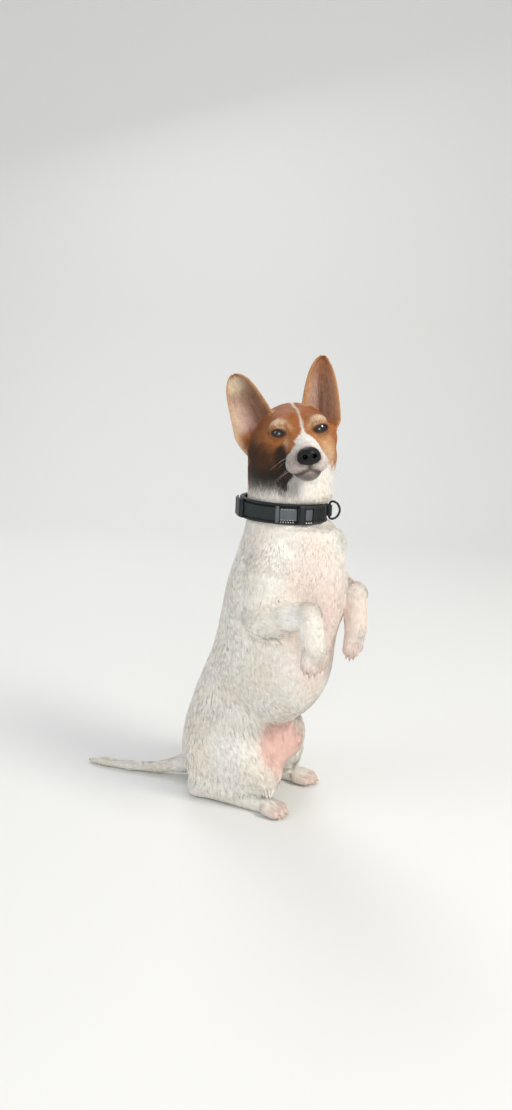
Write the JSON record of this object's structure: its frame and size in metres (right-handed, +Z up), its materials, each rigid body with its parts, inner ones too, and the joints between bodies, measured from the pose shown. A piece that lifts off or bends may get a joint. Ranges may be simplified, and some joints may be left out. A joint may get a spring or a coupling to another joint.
{
  "type": "dog, small terrier sitting up, with collar",
  "caption": "Small smooth-coated prick-eared terrier sitting up on its haunches, forepaws hanging, head turned to its right, padded collar with a ring.",
  "frame": {"origin": "middle of the bounding box's underside, at floor level", "axes": "+Z up, -Y ahead of the dog's chest, +X towards the dog's own left"},
  "size_m": [0.178, 0.3164, 0.4833],
  "materials": {
    "coat": "short dense white coat, skin showing pink on chest and belly",
    "head_coat": "short ginger-tan coat with dark cheek, cream brows, white blaze and muzzle",
    "ear_coat": "very short tan hair, pinkish grey skin inside",
    "eye": "wet dark brown eye",
    "nose": "moist black nose leather",
    "collar_padding": "black padded fabric",
    "webbing": "dark green-grey webbing",
    "reflective_cloth": "grey reflective cloth with white stitches",
    "buckle_plastic": "black moulded plastic",
    "ring_metal": "dark coated steel wire"
  },
  "bodies": {
    "root": {"belly": "coat", "chest": "coat", "collar_band": "collar_padding", "collar_buckle": "buckle_plastic", "collar_keeper": "webbing", "collar_ring": "ring_metal", "collar_sleeve": "reflective_cloth", "collar_slider": "buckle_plastic", "collar_strap": "webbing", "ear_left": "ear_coat", "ear_right": "ear_coat", "eye_left": "eye", "eye_right": "eye", "forearm_left": "coat", "forearm_right": "coat", "forepaw_left": "coat", "forepaw_right": "coat", "head": "head_coat", "hindfoot_left": "coat", "hindfoot_right": "coat", "neck": "coat", "nose": "nose", "tail": "coat", "thigh_left": "coat", "thigh_right": "coat", "upper_arm_left": "coat", "upper_arm_right": "coat"}
  },
  "joints": []
}
